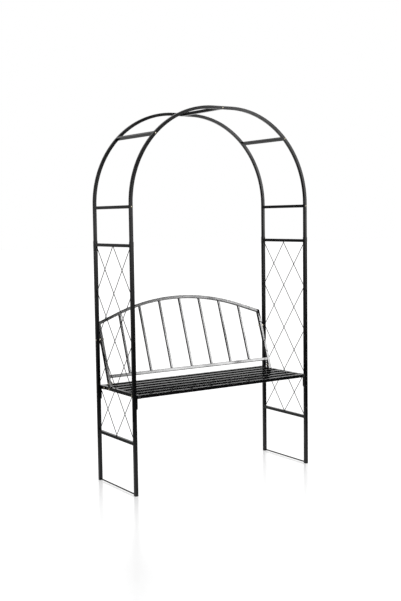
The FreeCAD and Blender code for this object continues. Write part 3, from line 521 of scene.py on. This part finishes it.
finish_nodes([name for name in sorted(nodes) if name.startswith("seat_")
              and not name.endswith(("_bolts", "_nuts", "_plugs"))], tube_coat)
slat_sides = []
slat_bottoms = []
slats = [f"seat_slat_{number}" for number in range(1, SLATS + 1)]
for name in ["seat_front_rail"] + slats + ["seat_rear_rail"]:
    low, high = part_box(name)
    middle = (low + high) / 2
    for x in (low.x, high.x):
        slat_bottoms.append(((x, middle.y, low.z), (0, 1, 0)))
        if name != "seat_front_rail":
            slat_sides.append(((x, low.y, middle.z - SIDE_BEAD_DROP), (0, 0, 1)))
        if name != "seat_rear_rail":
            slat_sides.append(((x, high.y, middle.z - SIDE_BEAD_DROP), (0, 0, 1)))
bracket_edges = []
for side in ("left", "right"):
    for end in ("front", "rear"):
        low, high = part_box(f"seat_bracket_{end}_{side}")
        post_low, post_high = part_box(f"post_{end}_{side}")
        x = low.x if side == "left" else high.x
        for y in (post_low.y + BRACKET_BEAD_INSET, post_high.y - BRACKET_BEAD_INSET):
            bracket_edges.append(((x, y, low.z + BRACKET_BEAD_RISE), (0, 0, 1)))
lay_welds(
    "seat_welds",
    [(weld_bead(SLAT_SIDE_BEAD, SLAT_BEAD_RADIUS), slat_sides),
     (weld_bead(SLAT_BOTTOM_BEAD, SLAT_BEAD_RADIUS), slat_bottoms),
     (weld_bead(BRACKET_BEAD, BRACKET_BEAD_RADIUS), bracket_edges)],
    tube_coat,
)

# Back: a bowed top rail, mitred uprights, a bottom rail and thinner bars, welded as one frame that
# leans back about the bolts in the rear posts.
BACK_LEAN = math.radians(19.06)
BACK_TUBE = 0.017
BAR_TUBE = 0.012
BAR_PITCH = 0.1375
BARS_EACH_SIDE = 3
BOW_APEX = 0.212
BOW_RADIUS = 1.235
BOTTOM_RAIL_DROP = 0.212
BAR_BEAD = 0.010
BAR_BEAD_RADIUS = 0.0013
RAIL_BEAD = 0.015
RAIL_BEAD_RADIUS = 0.0014

finish_nodes([name for name in sorted(nodes) if name.startswith("backrest_")
              and not name.endswith(("_bolts", "_nuts", "_spacers"))], tube_coat)
low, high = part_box("backrest_spacers")
bolt_line = (0, (low.y + high.y) / 2, (low.z + high.z) / 2)
lean_back = Matrix.Translation(bolt_line) @ Matrix.Rotation(-BACK_LEAN, 4, "X")
bar_ends = []
for number in range(-BARS_EACH_SIDE, BARS_EACH_SIDE + 1):
    x = number * BAR_PITCH
    bow_slope = math.asin(x / BOW_RADIUS)
    along_bow = (math.cos(bow_slope), 0, -math.sin(bow_slope))
    under_top_rail = BOW_APEX - BOW_RADIUS + math.sqrt((BOW_RADIUS - BACK_TUBE / 2) ** 2 - x ** 2)
    on_bottom_rail = BACK_TUBE / 2 - BOTTOM_RAIL_DROP
    bar_ends += round_tube_end((x, 0, under_top_rail), along_bow, (0, 1, 0), BAR_TUBE)
    bar_ends += round_tube_end((x, 0, on_bottom_rail), (1, 0, 0), (0, 1, 0), BAR_TUBE)
rail_ends = []
low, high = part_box("backrest_bottom_rail")
for x in (low.x, high.x):
    rail_ends += round_tube_end((x, 0, -BOTTOM_RAIL_DROP), (0, 1, 0), (0, 0, 1), BACK_TUBE)
lean_only = lean_back.to_3x3()
for ends in (bar_ends, rail_ends):
    ends[:] = [(lean_back @ middle, lean_only @ along) for middle, along in ends]
lay_welds(
    "backrest_welds",
    [(weld_bead(BAR_BEAD, BAR_BEAD_RADIUS), bar_ends), (weld_bead(RAIL_BEAD, RAIL_BEAD_RADIUS), rail_ends)],
    tube_coat,
)

# Fasteners: zinc-plated steel bolts, nuts and spacers, the only bright metal in sight. A thin
# passivation clouds the plate with a faint yellow, in patches about 2 mm across.
ZINC_YELLOWED = "#efe6cc"
ZINC_CLEAR = "#fff8e6"
CLOUDED_MM = 2.0

zinc, tree = new_material("bright_zinc_plate")
place = add_node(tree, "ShaderNodeTexCoord").outputs["Object"]
mottle = add_node(tree, "ShaderNodeTexNoise", {"Scale": 1000 / CLOUDED_MM, "Detail": 2.0}, {"Vector": place})
tone = add_node(
    tree, "ShaderNodeMix", {"data_type": "RGBA", 6: to_linear(ZINC_YELLOWED), 7: to_linear(ZINC_CLEAR)},
    {0: mottle.outputs["Fac"]},
)
gloss = add_node(
    tree, "ShaderNodeMapRange", {"To Min": 0.4, "To Max": 0.55}, {"Value": mottle.outputs["Fac"]}
)
metal = add_node(
    tree, "ShaderNodeBsdfPrincipled", {"Metallic": 1.0},
    {"Base Color": tone.outputs[2], "Roughness": gloss.outputs["Result"]},
)
add_node(tree, "ShaderNodeOutputMaterial", links={0: metal.outputs[0]})
finish_nodes([name for name in sorted(nodes) if name.endswith(("_bolts", "_nuts", "_spacers"))], zinc)

# Connectors: pieces of galvanised tube inside the arches, where their halves meet at the crown. The
# hot-dipped zinc has dull and bright crystals, and nothing of it shows once the arches are closed.
SPANGLE_DULL = "#9fa2a3"
SPANGLE_BRIGHT = "#b9bcbc"
SPANGLE_MM = 4.545

galvanised, tree = new_material("galvanised_tube")
place = add_node(tree, "ShaderNodeTexCoord").outputs["Object"]
spangle = add_node(tree, "ShaderNodeTexVoronoi", {"Scale": 1000 / SPANGLE_MM}, {"Vector": place})
tone = add_node(
    tree, "ShaderNodeMix", {"data_type": "RGBA", 6: to_linear(SPANGLE_DULL), 7: to_linear(SPANGLE_BRIGHT)},
    {0: spangle.outputs["Distance"]},
)
gloss = add_node(
    tree, "ShaderNodeMapRange", {"To Min": 0.4, "To Max": 0.6}, {"Value": spangle.outputs["Distance"]}
)
metal = add_node(
    tree, "ShaderNodeBsdfPrincipled", {"Metallic": 1.0},
    {"Base Color": tone.outputs[2], "Roughness": gloss.outputs["Result"]},
)
add_node(tree, "ShaderNodeOutputMaterial", links={0: metal.outputs[0]})
finish_nodes(["crown_connectors"], galvanised)

# Foot caps and seat end plugs: injection-moulded black polyethylene, pressed into the open ends of
# the tubes. Its spark-eroded grain looks matt, and is drawn coarser so that it shows in a close view.
PLASTIC_BLACK = "#0b0b0b"
GRAIN_MM = 1.111
GRAIN_DEPTH = 0.0002

plastic, tree = new_material("moulded_black_polyethylene")
place = add_node(tree, "ShaderNodeTexCoord").outputs["Object"]
grain = add_node(tree, "ShaderNodeTexNoise", {"Scale": 1000 / GRAIN_MM, "Detail": 2.0}, {"Vector": place})
bump = add_node(
    tree, "ShaderNodeBump", {"Strength": 0.4, "Distance": GRAIN_DEPTH}, {"Height": grain.outputs["Fac"]}
)
resin = add_node(
    tree, "ShaderNodeBsdfPrincipled", {"Base Color": to_linear(PLASTIC_BLACK), "Roughness": 0.5, "IOR": 1.51},
    {"Normal": bump.outputs["Normal"]},
)
add_node(tree, "ShaderNodeOutputMaterial", links={0: resin.outputs[0]})
finish_nodes(["foot_caps", "seat_end_plugs"], plastic)
